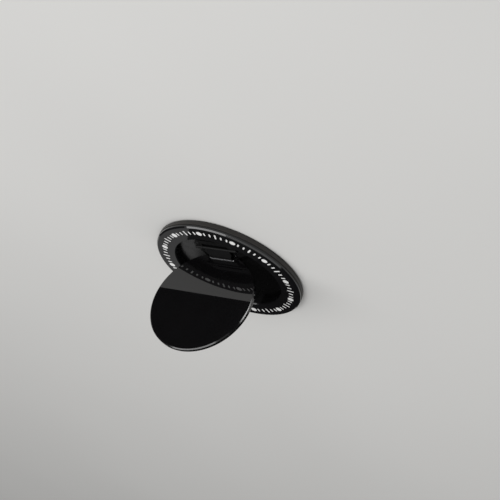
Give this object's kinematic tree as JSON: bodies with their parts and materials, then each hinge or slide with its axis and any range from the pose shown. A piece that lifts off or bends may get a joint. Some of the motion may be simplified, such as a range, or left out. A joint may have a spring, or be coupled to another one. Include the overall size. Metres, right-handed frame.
{
  "type": "magnetic phone holder",
  "caption": "Flat round magnetic phone holder: a bezel ring with a shallow well, and a glossy disc that folds out of the well on a double-hinged leaf as a stand.",
  "frame": {"origin": "centre of the pad's face that meets the phone", "axes": "+Z out of the phone through the ring, +X along the hinge pins, +Y from the open disc towards its bracket"},
  "size_m": [0.056, 0.056, 0.0395],
  "materials": {
    "bezel": "polished black",
    "housing": "satin dark grey",
    "disc": "mirror-polished black",
    "pad": "soft matt black",
    "hinge": "black coated steel",
    "steel": "plain drawn steel",
    "magnet": "nickel plated",
    "print": "white screen print"
  },
  "bodies": {
    "base": {"grip_pad": "pad", "base_housing": "housing", "front_ring": "bezel", "shunt_ring": "steel", "magnet_01": "magnet", "magnet_02": "magnet", "magnet_03": "magnet", "magnet_04": "magnet", "magnet_05": "magnet", "magnet_06": "magnet", "magnet_07": "magnet", "magnet_08": "magnet", "magnet_09": "magnet", "magnet_10": "magnet", "magnet_11": "magnet", "magnet_12": "magnet", "magnet_13": "magnet", "magnet_14": "magnet", "magnet_15": "magnet", "magnet_16": "magnet", "magnet_17": "magnet", "magnet_18": "magnet", "hinge_bracket": "hinge", "bracket_rivets": "hinge", "base_pin": "steel"},
    "link": {"hinge_leaf": "hinge"},
    "stand": {"stand_disc": "disc", "disc_pin": "steel"}
  },
  "joints": [
    {"name": "leaf_flip", "type": "hinge", "parent": "base", "child": "link", "pos_m": [0, 0.01216, 0.00105], "axis": [1, 0, 0], "range_deg": [-160.04, 0]},
    {"name": "disc_fold", "type": "hinge", "parent": "link", "child": "stand", "pos_m": [0, 0.00625, 0.0016], "axis": [1, 0, 0], "range_deg": [0, 250.04]}
  ],
  "couplings": [
    {"joint": "disc_fold", "follows": "leaf_flip", "ratio": -1.5624}
  ]
}
